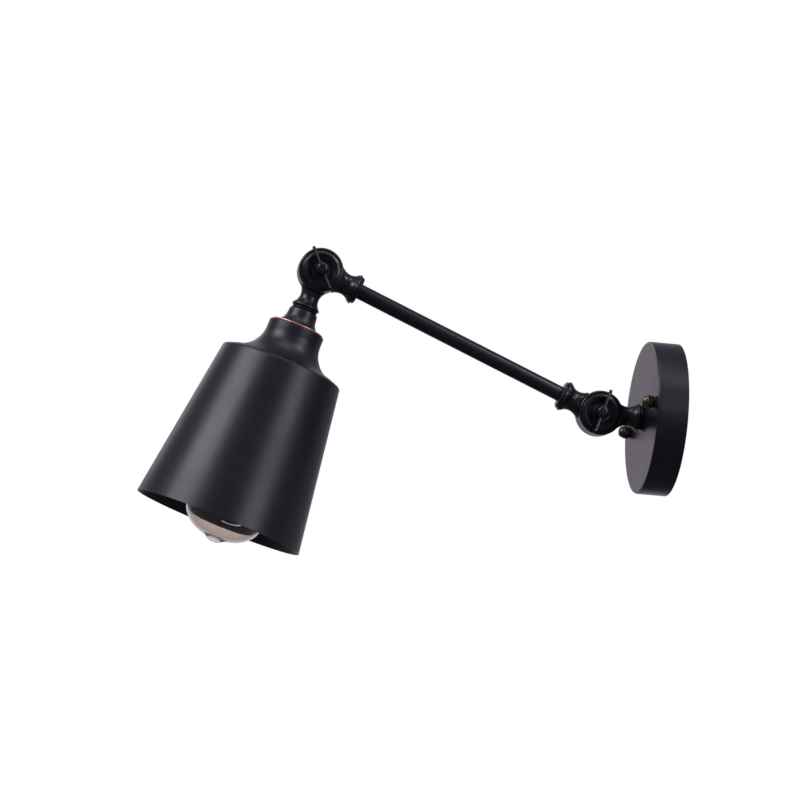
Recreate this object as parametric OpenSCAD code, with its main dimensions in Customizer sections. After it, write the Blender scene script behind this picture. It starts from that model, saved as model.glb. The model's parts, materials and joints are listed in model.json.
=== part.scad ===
// Swing arm wall lamp. The wall is the plane y = 0 and the lamp reaches towards -Y.
// The hinge axes of both knuckles run along X. Up is +Z.

/* [Canopy] */
// Outer diameter of the canopy
canopy_d = 114.3; // [110:0.1:150]
// Depth of the canopy, from the wall to its face
canopy_depth = 22.6; // [20:0.1:40]
// Thickness of the canopy's sheet
canopy_wall = 1.2; // [0.8:0.1:2]
// Rounding of the canopy's front edge
canopy_edge_r = 1.6; // [0.6:0.1:4]

/* [Mounting bracket] */
// Distance between the two wall screws
wall_screw_spacing = 88.9; // [82:0.1:92]
// Diameter of the wall screw holes
wall_screw_hole_d = 4.5; // [3.5:0.1:5.5]
// Width of the bracket's arms
bar_w = 18; // [14:0.5:24]
// Thickness of the bracket
bar_t = 2; // [1.5:0.1:3]
// Diameter of the round middle of the bracket
bar_middle_d = 38; // [34:0.5:44]
// Diameter of the hole that the house wires come through
bar_wire_hole_d = 19; // [14:0.5:22]
// Diameter of the grounding screw's shank
ground_screw_d = 3.9; // [3:0.1:4.5]
// Diameter of the grounding screw's head
ground_head_d = 7.4; // [6:0.1:8]

/* [Canopy studs] */
// Distance between the two studs
stud_spacing = 80.2; // [72:0.1:90]
// Turn of the bracket and its studs about the canopy's axis
stud_angle = 11.4; // [0:0.1:45]
// Diameter of a stud
stud_d = 4; // [3:0.1:5]
// Diameter of a thumb nut over its knurl
thumb_nut_d = 9.9; // [9:0.1:13]
// Length of a thumb nut
thumb_nut_len = 8.4; // [7:0.1:12]
// Number of grooves in a thumb nut's knurl
knurl_count = 20; // [12:1:28]

/* [Knuckle fittings] */
// Diameter of a knuckle disc
disc_d = 33.3; // [31:0.1:36]
// Thickness of one half of a knuckle, from the middle plane
disc_t = 9.8; // [8.6:0.05:11]
// Length of a fitting, from the hinge axis to its end
fitting_len = 32.5; // [32:0.1:38]
// Waist diameter of the wall fitting and the head fitting
slim_neck_d = 14.3; // [12.8:0.1:15.4]
// Collar diameter of the wall fitting and the head fitting
slim_collar_d = 21.3; // [20:0.1:24]
// Waist diameter of the two arm fittings
stout_neck_d = 15.9; // [14:0.1:17]
// Collar diameter of the two arm fittings
stout_collar_d = 23.1; // [21.5:0.1:26]
// Depth of the socket that takes a tube or a nipple
socket_depth = 8; // [6:0.1:9]
// Diameter of the wire way through a fitting's neck
wire_way_d = 7; // [5:0.1:8]

/* [Wing screws] */
// Diameter of the screw's shank
wing_shank_d = 5.8; // [5:0.1:6.4]
// Diameter of the screw's hub
wing_hub_d = 9.2; // [8.4:0.1:11]
// Height of the hub, from its washer to its domed end
wing_hub_len = 11; // [9:0.1:13]
// Span of the wings, from tip to tip
wing_span = 35.6; // [28:0.1:38]
// Thickness of a wing
wing_t = 1.7; // [1.2:0.1:3]
// Lean of the wings at the wall knuckle
base_wing_angle = -17; // [-90:1:90]
// Lean of the wings at the head knuckle
head_wing_angle = 26; // [-90:1:90]

/* [Arm] */
// Distance between the two hinge axes
arm_len = 233.3; // [150:0.1:320]
// Rise of the arm above level
arm_rise = 21.8; // [-30:0.1:60]
// Diameter of the arm tube
arm_tube_d = 11.4; // [9.5:0.1:12]
// Wall of the arm tube
arm_tube_wall = 1; // [0.6:0.1:1.6]

/* [Shade] */
// Lean of the head away from the wall
head_tilt = 17.3; // [0:0.1:60]
// Length of the flared cap
cap_len = 12.5; // [11:0.1:20]
// Diameter of the cap's foot
cap_foot_d = 31; // [27:0.1:36]
// Thickness of the trim ring
trim_t = 0.9; // [0.5:0.1:1.6]
// Diameter of the shade's cup
cup_d = 42.5; // [41:0.1:48]
// Length of the cup's straight side
cup_len = 6.7; // [5:0.1:14]
// Radius of the hollow flare between cup and drum
flare_r = 21.7; // [17:0.1:26]
// Diameter of the drum at its top
drum_top_d = 92.7; // [89:0.1:100]
// Diameter of the drum at its mouth
mouth_d = 127; // [110:0.1:150]
// Length of the drum
drum_len = 123.4; // [100:0.1:160]
// Thickness of the shade's sheet
shade_wall = 0.9; // [0.6:0.1:1.6]

/* [Threaded nipples] */
// Outer diameter of a nipple
nipple_d = 9.8; // [9:0.1:10.4]
// Bore of a nipple
nipple_bore_d = 7; // [5:0.1:8]
// Width of a nipple's nut across its flats
nipple_nut_w = 14; // [13:0.1:16]
// Thickness of a nipple's nut
nipple_nut_t = 3.5; // [2.5:0.1:5]

/* [Lamp socket] */
// Outer diameter of the socket's body
socket_d = 35; // [32:0.1:37]
// Length of the socket's body
socket_body_len = 39; // [37:0.1:44]
// Length of the socket's cap
socket_cap_len = 7; // [6:0.1:12]
// Thickness of the brass screw shell
shell_t = 0.5; // [0.3:0.1:0.8]

/* [Bulb] */
// Largest diameter of the bulb
bulb_d = 64; // [50:0.5:70]
// Length of the bulb, from its contact to its glass tip
bulb_len = 141.5; // [125:0.5:150]
// Diameter of the bulb's screw base
bulb_base_d = 26.2; // [25:0.1:27]
// Thickness of the bulb's glass
glass_t = 0.9; // [0.6:0.1:1.4]
// Number of hairpins in the filament
hairpin_count = 9; // [5:1:12]

/* [Hidden] */
$fn = 96;

// Clearances
turn_play = 0.05;       // radial play of a shaft that turns in a bore
thread_play = 0.05;     // radial play of a screw thread in its hole
hole_play = 0.3;        // radial play of a stud or nipple in a plain hole
swing_gap = 0.5;        // gap between a disc's rim and the other fitting's shoulder
contact_gap = 0.1;      // gap between the socket's contact and the bulb's

// Canopy and mounting bracket
canopy_r = canopy_d / 2;
canopy_face_in = canopy_depth - canopy_wall;
wall_screw_r = wall_screw_spacing / 2;
screw_arm_end = 7.2;    // bracket beyond each wall screw's centre
stud_arm_end = 6;       // bracket beyond each stud's centre
stud_r = stud_d / 2;
stud_at = stud_spacing / 2;
stud_chamfer = 0.5;
locknut_w = stud_d + 3;
locknut_t = 3.2;
nut_dome = 2.8;         // domed end of a thumb nut
nut_foot = 0.9;         // plain foot of a thumb nut
knurl_depth = 0.35;
knurl_r = 0.6;          // radius of a knurl's groove
stud_len = canopy_depth + thumb_nut_len - nut_dome - 0.6;
ground_at = (bar_wire_hole_d + bar_middle_d) / 4;
ground_head_t = 2.2;

// Knuckle
disc_r = disc_d / 2;
ring_t = 0.5;           // friction ring between the two halves
mate = ring_t / 2;      // distance of each mating face from the middle plane
recess_r = 7.6;         // sunk floor round the screw
recess_x = disc_t - 2.65;
chamber_in = 8.8;       // wire chamber round the screw's boss
chamber_out = 12.4;
chamber_x = disc_t - 2.2;
ring_in = chamber_out + 0.5;
ring_out = disc_r - 0.4;
shank_r = wing_shank_d / 2;
pivot_r = shank_r + turn_play;
wing_washer_t = 1.2;
wing_washer_r = 6.7;
hub_x = recess_x + wing_washer_t;
spring_t = 1;
spring_r = 5.6;
spring_split = 0.9;     // slit through a spring washer
pivot_nut_w = 10;
pivot_nut_t = 4.5;
screw_tail = recess_x + spring_t + pivot_nut_t + 1.2;
slim_bead_r = 0.7;      // bead on the collar of a slim fitting
stout_bead_r = 1.3;     // bead on the collar of a stout fitting
lip_r = 0.45;           // thin ring before the bead
end_ring_r = 0.7;       // ring after the bead
root_rise = 2.4;        // flare of the neck into the disc
base_reach = canopy_depth + fitting_len;
base_pivot = [0, -base_reach, 0];
head_pivot = base_pivot + arm_len * [0, -cos(arm_rise), sin(arm_rise)];

// Nipples
nipple_r = nipple_d / 2;
nipple_washer_t = 1;
nipple_washer_r = 10;
nipple_tail = 3;        // thread beyond a nut

// Head, measured along its axis from the head pivot
cap_z = fitting_len;
trim_z = cap_z + cap_len;
cup_z = trim_z + trim_t;
cup_r = cup_d / 2;
shoulder_r = max(1.5, shade_wall + 0.3);    // rounding of the cup's top edge
trim_r = cup_r - shoulder_r;
flare_z = cup_z + cup_len;
crease_r = 2.2;         // rounding of the drum's top edge
crease_drop = 3;        // drum's top edge below the end of the flare
drum_z = flare_z + flare_r + crease_drop;
drum_r = drum_top_d / 2;
mouth_r = mouth_d / 2;
mouth_z = drum_z + drum_len;
shade_in_z = cup_z + shade_wall;
shade_nut_z = shade_in_z + nipple_washer_t;
socket_z = shade_nut_z + nipple_nut_t + 0.3;
body_z = socket_z + socket_cap_len;
body_floor = 12;        // solid part of the socket's body behind the screw shell
shell_z = body_z + body_floor;
nipple_end_z = socket_z + socket_cap_len - 1;
socket_r = socket_d / 2;
base_r = bulb_base_d / 2;
shell_in = base_r + turn_play;
shell_out = shell_in + shell_t;
body_bore = shell_out + thread_play;

// Bulb, measured along the head's axis
bulb_z = shell_z + 3;
base_z = bulb_z + 5.4;
base_len = 18.5;
base_end = base_z + base_len;
contact_r = 4.6;
bulb_r = bulb_d / 2;
pip_len = 2;            // drawn glass tip
globe_z = bulb_z + bulb_len - pip_len - bulb_r;
neck_r = base_r - 0.5;
neck_z = base_end + 5;
taper_a = asin(bulb_r / norm([globe_z - neck_z, neck_r])) - atan(neck_r / (globe_z - neck_z));
mount_z = base_end - 4;
mount_r = 6.5;
rod_r = 1.8;
cage_above = 22;        // top hooks beyond the screw base
cage_below = 4;         // low hooks beyond the globe's middle
cage_top = base_end + cage_above;
cage_low = globe_z + cage_below;
cage_r1 = 8;
cage_r2 = 12.5;
wire_r = 0.35;
filament_r = 0.25;
hook_r = 1.1;           // bend of a hairpin
wire_gap = 0.1;         // gap between a filament and its support
hook_gap = filament_r + wire_r + wire_gap;
hub_play = 0.02;        // radial play of a support hub on its rod
support_hub_wall = 1.2;
support_hub_r = rod_r + support_hub_wall;
support_hub_t = 1.6;
support_foot = 0.5;     // support wire inside its hub
support_reach = 0.8;    // support wire beyond the filament

// Colours
black_paint = "#1c1b1f";
dark_steel = "#2b2a2e";
brass = "#a8803c";
old_brass = "#7d6234";
copper = "#b4664a";
zinc = "#b9bcc0";
phenolic = "#15151a";
fibre = "#4a2f24";

// Points along an arc in the plane, from angle a to angle b
function arc(c, r, a, b, n = 6) =
    [for (i = [0 : n]) c + r * [cos(a + (b - a) * i / n), sin(a + (b - a) * i / n)]];

// Puts a piece that is drawn along +Z on the wall plane, pointing out of the wall
module from_wall() {
    rotate([90, 0, 0]) children();
}

// Puts a piece that is drawn along +Z at a pivot, leaning by an angle about the hinge axis
module at_pivot(pivot, angle) {
    translate(pivot) rotate([angle, 0, 0]) children();
}

module on_wall_neck() { at_pivot(base_pivot, -90) children(); }
module on_arm_rear() { at_pivot(base_pivot, 90 - arm_rise) children(); }
module on_arm_front() { at_pivot(head_pivot, -90 - arm_rise) children(); }
module on_head() { at_pivot(head_pivot, 180 - head_tilt) children(); }

// Puts a piece that is drawn along +Z on the hinge axis, on the +X side or the -X side
module on_hinge(side) {
    rotate([0, 90 * side, 0]) children();
}

module at_studs() {
    from_wall() rotate(stud_angle) for (s = [-1, 1]) translate([s * stud_at, 0, 0]) children();
}

// A hexagon nut with its corners turned off at both ends
module hex_nut(width, height, hole_r) {
    corner_r = width / cos(30) / 2;
    turned_r = corner_r + 0.2;
    bevel = (turned_r - 0.48 * width) * tan(30);
    difference() {
        intersection() {
            cylinder(r = corner_r, h = height, $fn = 6);
            rotate_extrude() polygon([[0, 0], [0.48 * width, 0], [turned_r, bevel],
                [turned_r, height - bevel], [0.48 * width, height], [0, height]]);
        }
        translate([0, 0, -1]) cylinder(r = hole_r, h = height + 2);
    }
}

module washer(outer_r, hole_r, height) {
    rotate_extrude() translate([hole_r, 0]) square([outer_r - hole_r, height]);
}

module pipe(outer_r, inner_r, length) {
    rotate_extrude() translate([inner_r, 0]) square([outer_r - inner_r, length]);
}

// Canopy

module canopy() {
    in_edge = max(canopy_edge_r - canopy_wall, 0.2);
    outline = concat(
        [[0, canopy_face_in]],
        arc([canopy_r - canopy_wall - in_edge, canopy_face_in - in_edge], in_edge, 90, 0, 4),
        [[canopy_r - canopy_wall, 0], [canopy_r, 0]],
        arc([canopy_r - canopy_edge_r, canopy_depth - canopy_edge_r], canopy_edge_r, 0, 90),
        [[0, canopy_depth]]
    );
    color(black_paint) difference() {
        from_wall() rotate_extrude() polygon(outline);
        at_studs() cylinder(r = stud_r + hole_play, h = canopy_depth + 1);
        from_wall() cylinder(r = nipple_r + hole_play, h = canopy_depth + 1);
    }
}

// One arm of the bracket, with both ends rounded
module bracket_arm(reach, end) {
    square([2 * reach, bar_w], center = true);
    for (s = [-1, 1]) translate([s * reach, 0]) intersection() {
        circle(r = bar_w / 2);
        square([2 * end, bar_w], center = true);
    }
}

// The studs stand on one arm of the bracket and the wall screws go through the other
module mounting_bar() {
    color(zinc) difference() {
        from_wall() rotate(stud_angle) linear_extrude(bar_t) {
            bracket_arm(stud_at, stud_arm_end);
            rotate(90) bracket_arm(wall_screw_r, screw_arm_end);
            circle(d = bar_middle_d);
        }
        from_wall() rotate(stud_angle) translate([0, 0, -1]) {
            cylinder(d = bar_wire_hole_d, h = bar_t + 2);
            for (s = [-1, 1]) {
                translate([0, s * wall_screw_r, 0]) cylinder(d = wall_screw_hole_d, h = bar_t + 2);
                translate([s * stud_at, 0, 0]) cylinder(r = stud_r + thread_play, h = bar_t + 2);
            }
            translate([0, -ground_at, 0]) cylinder(d = ground_screw_d + 2 * thread_play, h = bar_t + 2);
        }
    }
}

module canopy_studs() {
    color(zinc) at_studs() rotate_extrude() polygon([
        [0, 0], [stud_r, 0], [stud_r, stud_len - stud_chamfer],
        [stud_r - stud_chamfer, stud_len], [0, stud_len]]);
}

module stud_locknuts() {
    color(zinc) at_studs() translate([0, 0, bar_t]) hex_nut(locknut_w, locknut_t, stud_r + thread_play);
}

module ground_screw() {
    head_r = ground_head_d / 2;
    profile = concat(
        [[0, 0.2], [ground_screw_d / 2, 0.2], [ground_screw_d / 2, bar_t], [head_r, bar_t]],
        [[head_r, bar_t + 0.9]],
        arc([head_r - 1.3, bar_t + 0.9], 1.3, 0, 90, 4),
        [[0, bar_t + ground_head_t]]
    );
    color("#3f7d4a") from_wall() rotate(stud_angle) translate([0, -ground_at, 0]) difference() {
        rotate_extrude() polygon(profile);
        translate([-head_r, -0.5, bar_t + ground_head_t - 1]) cube([2 * head_r, 1, 2]);
    }
}

module wall_nipple() {
    tail = nipple_washer_t + nipple_nut_t + nipple_tail;
    color(zinc) from_wall() translate([0, 0, canopy_face_in - tail])
        pipe(nipple_r, nipple_bore_d / 2, tail + canopy_wall + socket_depth - 0.3);
}

module wall_nipple_washer() {
    color(zinc) from_wall() translate([0, 0, canopy_face_in - nipple_washer_t]) difference() {
        washer(nipple_washer_r, nipple_r + hole_play, nipple_washer_t);
        for (i = [0 : 11]) rotate(i * 30) translate([nipple_washer_r - 1.4, -0.6, -1])
            cube([3, 1.2, nipple_washer_t + 2]);
    }
}

module wall_nipple_nut() {
    color(zinc) from_wall() translate([0, 0, canopy_face_in - nipple_washer_t - nipple_nut_t])
        hex_nut(nipple_nut_w, nipple_nut_t, nipple_r + thread_play);
}

module thumb_nut(side) {
    grip_r = thumb_nut_d / 2;
    grip_end = thumb_nut_len - nut_dome;
    profile = concat(
        [[0, 0], [grip_r - 0.9, 0], [grip_r - 0.9, nut_foot], [grip_r - 0.6, nut_foot]],
        [[grip_r, nut_foot + 0.6], [grip_r, grip_end - 0.9], [grip_r - 0.7, grip_end]],
        arc([grip_r - 0.7 - nut_dome, grip_end], nut_dome, 0, 90),
        [[0, thumb_nut_len]]
    );
    from_wall() rotate(stud_angle) translate([side * stud_at, 0, canopy_depth]) difference() {
        rotate_extrude() polygon(profile);
        translate([0, 0, -1]) cylinder(r = stud_r + turn_play, h = grip_end + 1.6);
        for (i = [0 : knurl_count - 1]) rotate(i * 360 / knurl_count)
            translate([grip_r + knurl_r - knurl_depth, 0, nut_foot + 0.2])
                cylinder(r = knurl_r, h = grip_end, $fn = 16);
    }
}

module thumb_nut_upper() { color(old_brass) thumb_nut(1); }
module thumb_nut_lower() { color(old_brass) thumb_nut(-1); }

// Knuckle fittings, drawn with the neck along +Z and the disc on one side of the middle plane

module disc_half() {
    face = concat(
        [[pivot_r, mate], [disc_r - 0.4, mate], [disc_r, mate + 0.4], [disc_r, disc_t - 2.4]],
        arc([disc_r - 1.6, disc_t - 2.4], 1.6, 0, 80, 5),
        [[disc_r - 2, disc_t - 1.35], [disc_r - 2.6, disc_t - 0.75]],
        arc([disc_r - 4.6, disc_t - 1.5], 1.5, 60, 130, 5),
        [[recess_r + 0.5, recess_x + 0.9], [recess_r, recess_x + 0.4]],
        [[recess_r, recess_x], [pivot_r, recess_x]]
    );
    rotate_extrude() polygon(face);
}

// Radius of the arc that leaves the neck's waist upright and gains a rise over a run
function sweep_radius(run, rise) = (run * run + rise * rise) / (2 * rise);

// The collar carries a thin lip, a bead and an end ring, one after the other
module neck(waist_r, collar_r, bead_r) {
    root_z = disc_r - 2;
    waist_z = disc_r + 4.6;
    bead_z = fitting_len - 3.5;
    lip_z = bead_z - bead_r - 0.4;
    lip_crest = collar_r - 0.8;
    rise = lip_crest - 0.16 - waist_r;
    run = lip_z - 0.35 - waist_z;
    sweep_r = sweep_radius(run, rise);
    root_run = waist_z - root_z;
    root_r = sweep_radius(root_run, root_rise);
    end_z = fitting_len - 1.3;
    ring_crest = collar_r - 1;
    outer = concat(
        [[0, 0], [waist_r + root_rise, 0]],
        arc([waist_r + root_r, waist_z], root_r, 180 + asin(root_run / root_r), 180, 6),
        arc([waist_r + sweep_r, waist_z], sweep_r, 180, 180 - asin(run / sweep_r), 6),
        arc([lip_crest - lip_r, lip_z], lip_r, -50, 60, 4),
        arc([collar_r - bead_r, bead_z], bead_r, -60, 65, 6),
        [[ring_crest - 0.5, end_z - 0.75]],
        arc([ring_crest - end_ring_r, end_z], end_ring_r, -65, 65, 5),
        [[ring_crest - 1.4, fitting_len], [0, fitting_len]]
    );
    intersection() {
        rotate_extrude() polygon(outer);
        union() {
            translate([-waist_r, -disc_d, 0]) cube([2 * waist_r, 2 * disc_d, waist_z]);
            translate([0, 0, waist_z]) cylinder(r = 2 * collar_r, h = fitting_len);
        }
    }
}

module fitting(side, waist_r, collar_r, bead_r, plug_r) {
    difference() {
        union() {
            on_hinge(side) disc_half();
            difference() {
                neck(waist_r, collar_r, bead_r);
                on_hinge(side) translate([0, 0, -disc_d])
                    cylinder(r = disc_r + swing_gap, h = disc_d + mate);
                on_hinge(side) cylinder(r = disc_r - 0.8, h = 2 * disc_t);
            }
        }
        on_hinge(side) translate([0, 0, mate - 1])
            pipe(chamber_out, chamber_in, chamber_x - mate + 1);
        translate([side * (mate + 3.1), 0, chamber_in + 0.6])
            cylinder(r = 2.1, h = disc_r + swing_gap + 3.4 - chamber_in);
        translate([0, 0, disc_r + swing_gap + 1.6]) cylinder(d = wire_way_d, h = fitting_len);
        translate([0, 0, fitting_len - socket_depth])
            cylinder(r = plug_r + thread_play, h = socket_depth + 1);
    }
}

module slim_fitting(side) {
    fitting(side, slim_neck_d / 2, slim_collar_d / 2, slim_bead_r, nipple_r);
}

module stout_fitting(side) {
    fitting(side, stout_neck_d / 2, stout_collar_d / 2, stout_bead_r, arm_tube_d / 2);
}

module wall_fitting() { color(black_paint) on_wall_neck() slim_fitting(1); }
module arm_rear_fitting() { color(black_paint) on_arm_rear() stout_fitting(-1); }
module arm_front_fitting() { color(black_paint) on_arm_front() stout_fitting(1); }
module head_fitting() { color(black_paint) on_head() slim_fitting(-1); }

module arm_tube() {
    start = fitting_len - socket_depth + 0.3;
    color(black_paint) on_arm_rear() translate([0, 0, start])
        pipe(arm_tube_d / 2, arm_tube_d / 2 - arm_tube_wall, arm_len - 2 * start);
}

// Parts on each hinge axis

module friction_ring() {
    on_hinge(1) translate([0, 0, -mate]) washer(ring_out, ring_in, ring_t);
}

module wing_washer() {
    on_hinge(1) translate([0, 0, recess_x]) washer(wing_washer_r, pivot_r + 0.2, wing_washer_t);
}

module spring_washer() {
    on_hinge(-1) translate([0, 0, recess_x]) difference() {
        washer(spring_r, pivot_r + 0.2, spring_t);
        rotate([0, 30, 0]) translate([-spring_split / 2, 0, -spring_t])
            cube([spring_split, 2 * spring_r, 4 * spring_t]);
    }
}

module pivot_nut() {
    on_hinge(-1) translate([0, 0, recess_x + spring_t]) hex_nut(pivot_nut_w, pivot_nut_t, pivot_r);
}

module wing_screw(lean) {
    hub_r = wing_hub_d / 2;
    hub_end = hub_x + wing_hub_len;
    tip_r = 2.3;
    tip_x = hub_x + 6.8;
    tip_at = wing_span / 2 - tip_r;
    body = concat(
        [[0, -screw_tail], [shank_r - 0.6, -screw_tail], [shank_r, 0.6 - screw_tail], [shank_r, hub_x]],
        [[hub_r - 0.4, hub_x], [hub_r, hub_x + 0.4], [hub_r, hub_end - 2.6]],
        arc([hub_r - 2.6, hub_end - 2.6], 2.6, 0, 90),
        [[0, hub_end]]
    );
    on_hinge(1) rotate_extrude() polygon(body);
    rotate([lean, 0, 0]) for (s = [0, 1]) mirror([0, 0, s]) {
        rotate([90, 0, 0]) linear_extrude(wing_t, center = true) {
            polygon([[hub_x + 3.2, 0], [hub_x + 3.4, hub_r], [tip_x - tip_r * 0.97, tip_at - 0.5],
                [tip_x + tip_r * 0.94, tip_at - 0.8], [hub_end - 2.4, hub_r], [hub_end - 2.6, 0]]);
        }
        translate([tip_x, 0, tip_at]) rotate([90, 0, 0]) rotate_extrude() polygon([
            [0, -wing_t / 2 - 0.3], [tip_r - 0.4, -wing_t / 2 - 0.3], [tip_r, -wing_t / 2 + 0.1],
            [tip_r, wing_t / 2 - 0.1], [tip_r - 0.4, wing_t / 2 + 0.3], [0, wing_t / 2 + 0.3]]);
    }
}

module base_wing_washer() { color(dark_steel) translate(base_pivot) wing_washer(); }
module base_wing_screw() { color(black_paint) translate(base_pivot) wing_screw(base_wing_angle); }
module base_friction_ring() { color(fibre) translate(base_pivot) friction_ring(); }
module base_spring_washer() { color(dark_steel) on_arm_rear() spring_washer(); }
module base_pivot_nut() { color(dark_steel) on_arm_rear() pivot_nut(); }
module head_wing_washer() { color(dark_steel) translate(head_pivot) wing_washer(); }
module head_wing_screw() { color(black_paint) translate(head_pivot) wing_screw(head_wing_angle); }
module head_friction_ring() { color(fibre) translate(head_pivot) friction_ring(); }
module head_spring_washer() { color(dark_steel) on_head() spring_washer(); }
module head_pivot_nut() { color(dark_steel) on_head() pivot_nut(); }

// Shade and what holds it

module flared_cap() {
    top_r = slim_collar_d / 2 + 0.05;
    waist_r = top_r + 0.4;
    waist_z = 3.3;
    foot_r = cap_foot_d / 2;
    foot_edge = 0.5;
    rise = foot_r - waist_r;
    run = cap_len - foot_edge - waist_z;
    bell_r = sweep_radius(run, rise);
    outer = concat(
        [[0, 0]],
        arc([top_r - 0.7, 0.7], 0.7, -90, 0, 4),
        arc([waist_r + bell_r, waist_z], bell_r, 180, 180 - asin(run / bell_r), 10),
        [[foot_r, cap_len], [0, cap_len]]
    );
    color(black_paint) on_head() translate([0, 0, cap_z]) difference() {
        rotate_extrude() polygon(outer);
        translate([0, 0, -1]) cylinder(r = nipple_r + hole_play, h = cap_len + 2);
        translate([0, 0, cap_len - 4]) cylinder(r = foot_r - 5, h = 5);
    }
}

module trim_ring() {
    hole_r = nipple_r + hole_play;
    color(copper) on_head() translate([0, 0, trim_z]) rotate_extrude() polygon([
        [hole_r, 0], [trim_r - 0.25, 0], [trim_r, 0.25], [trim_r, trim_t], [hole_r, trim_t]]);
}

// Outline of the shade from its top hole to its mouth, moved inwards by an inset
function shade_side(inset) = concat(
    arc([cup_r - shoulder_r, cup_z + shoulder_r], shoulder_r - inset, -90, 0, 6),
    arc([cup_r + flare_r, flare_z], flare_r + inset, 180, 100, 10),
    arc([drum_r - crease_r, drum_z + crease_r - 1.2], crease_r - inset, -72, -9, 5),
    [[mouth_r - inset, mouth_z]]
);

module shade() {
    outer = shade_side(0);
    inner = shade_side(shade_wall);
    hole_r = nipple_r + hole_play;
    outline = concat(
        [[hole_r, cup_z]],
        outer,
        [for (i = [len(inner) - 1 : -1 : 0]) inner[i]],
        [[hole_r, shade_in_z]]
    );
    color(black_paint) on_head() rotate_extrude() polygon(outline);
}

module head_nipple() {
    start = fitting_len - socket_depth + 0.3;
    color(zinc) on_head() translate([0, 0, start]) pipe(nipple_r, nipple_bore_d / 2, nipple_end_z - start);
}

module shade_washer() {
    color(zinc) on_head() translate([0, 0, shade_in_z])
        washer(nipple_washer_r + 2, nipple_r + hole_play, nipple_washer_t);
}

module shade_nut() {
    color(zinc) on_head() translate([0, 0, shade_nut_z])
        hex_nut(nipple_nut_w, nipple_nut_t, nipple_r + thread_play);
}

// Lamp socket

module socket_cap() {
    shell = 2;
    color(phenolic) on_head() translate([0, 0, socket_z]) rotate_extrude() polygon(concat(
        [[nipple_r + thread_play, 0], [9, 0], [9.6, 0.6], [9.6, 1.4]],
        arc([socket_r - 3, 4.4], 3, -90, 0, 5),
        [[socket_r, socket_cap_len], [socket_r - shell, socket_cap_len]],
        [[socket_r - shell, 3.6], [9, 3.6], [9, socket_cap_len - 1]],
        [[nipple_r + thread_play, socket_cap_len - 1]]
    ));
}

module socket_body() {
    foot = 1.2;
    color(phenolic) on_head() translate([0, 0, body_z]) difference() {
        rotate_extrude() polygon([
            [0, 0], [socket_r - 2.6, 0], [socket_r - 0.5, 0], [socket_r, 0.5], [socket_r, 8],
            [socket_r - foot, 8.6], [socket_r - foot, socket_body_len - 0.8],
            [socket_r - foot - 0.8, socket_body_len], [body_bore, socket_body_len],
            [body_bore, body_floor], [0, body_floor]]);
        for (s = [-1, 1]) translate([s * 9, 0, -1]) cylinder(r = 1.8, h = body_floor + 2);
    }
}

module socket_shell() {
    lip = 2.4;
    rise = socket_body_len - body_floor - 1.5;
    color(brass) on_head() translate([0, 0, shell_z]) rotate_extrude() polygon([
        [shell_in - lip, 0], [shell_out, 0], [shell_out, rise], [shell_in, rise],
        [shell_in, shell_t], [shell_in - lip, shell_t]]);
}

module socket_contact() {
    strip_w = 5;
    leaf_t = 0.5;
    reach = bulb_z - contact_gap - shell_z;
    color(brass) on_head() translate([0, 0, shell_z]) rotate([90, 0, 0])
        linear_extrude(strip_w, center = true) polygon([
            [-6, 0], [-2.5, 0], [-2.5, leaf_t], [-4.2, leaf_t], [-3.2, reach - leaf_t],
            [3, reach - leaf_t], [3, reach], [-3.6, reach], [-4.8, leaf_t], [-6, leaf_t]]);
}

// Bulb

module bulb_base() {
    thin = 0.4;
    color(brass) on_head() translate([0, 0, base_z]) rotate_extrude() polygon([
        [base_r - 2, 0], [base_r - 0.6, 0.5], [base_r, 1.6], [base_r, base_len],
        [base_r - thin, base_len], [base_r - thin, 1.8], [base_r - 0.9, 0.9], [base_r - 2.2, 0.4]]);
}

module bulb_insulator() {
    color(phenolic) on_head() translate([0, 0, bulb_z + 1]) rotate_extrude() polygon([
        [0, 0.3], [contact_r, 0.3], [contact_r + 0.6, 0.8], [base_r - 2.5, base_z - bulb_z - 0.9],
        [base_r - 2.5, base_z - bulb_z + 0.6], [0, base_z - bulb_z + 0.6]]);
}

module bulb_contact() {
    color(zinc) on_head() translate([0, 0, bulb_z]) rotate_extrude() polygon(concat(
        [[0, 0], [contact_r - 1.3, 0]],
        arc([contact_r - 1.3, 1.3], 1.3, -90, 0, 4),
        [[0, 1.3]]
    ));
}

// Outline of the glass from its neck to its tip, moved inwards by an inset
function glass_side(inset) = concat(
    [[neck_r - inset, base_end - 6], [neck_r - inset, neck_z]],
    arc([0, globe_z], bulb_r - inset, -taper_a, 82, 14)
);

module bulb_glass() {
    outer = glass_side(0);
    inner = glass_side(glass_t);
    pip_r = 2.2;
    tip_z = bulb_z + bulb_len;
    color("#d9c9a6", 0.35) on_head() rotate_extrude() polygon(concat(
        outer,
        [[pip_r, tip_z - pip_len * 0.9], [pip_r * 0.6, tip_z - 0.6], [0.6, tip_z], [0, tip_z]],
        [[0, tip_z - pip_len - glass_t]],
        [for (i = [len(inner) - 1 : -1 : 0]) inner[i]]
    ));
}

module bulb_mount() {
    flare = neck_r - glass_t - 0.3;
    color("#cfd6d4", 0.5) on_head() translate([0, 0, mount_z]) rotate_extrude() polygon([
        [0, -1], [flare, -1], [flare, 0], [mount_r, 3], [mount_r - 1.5, 14], [rod_r + 0.6, 20],
        [rod_r, 21], [rod_r, cage_low + 3 - mount_z], [0, cage_low + 4 - mount_z]]);
}

// A round wire between two points
module wire(from, to, radius) {
    span = to - from;
    translate(from) rotate([0, acos(span[2] / norm(span)), atan2(span[1], span[0])])
        cylinder(r = radius, h = norm(span), $fn = 16);
}

// The cage is a cone: its radius grows from the top hooks to the low hooks
function cage_r_at(z) = cage_r1 + (cage_r2 - cage_r1) * (z - cage_top) / (cage_low - cage_top);
function cage_point(turn, z) = [cage_r_at(z) * cos(turn), cage_r_at(z) * sin(turn), z];

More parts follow.
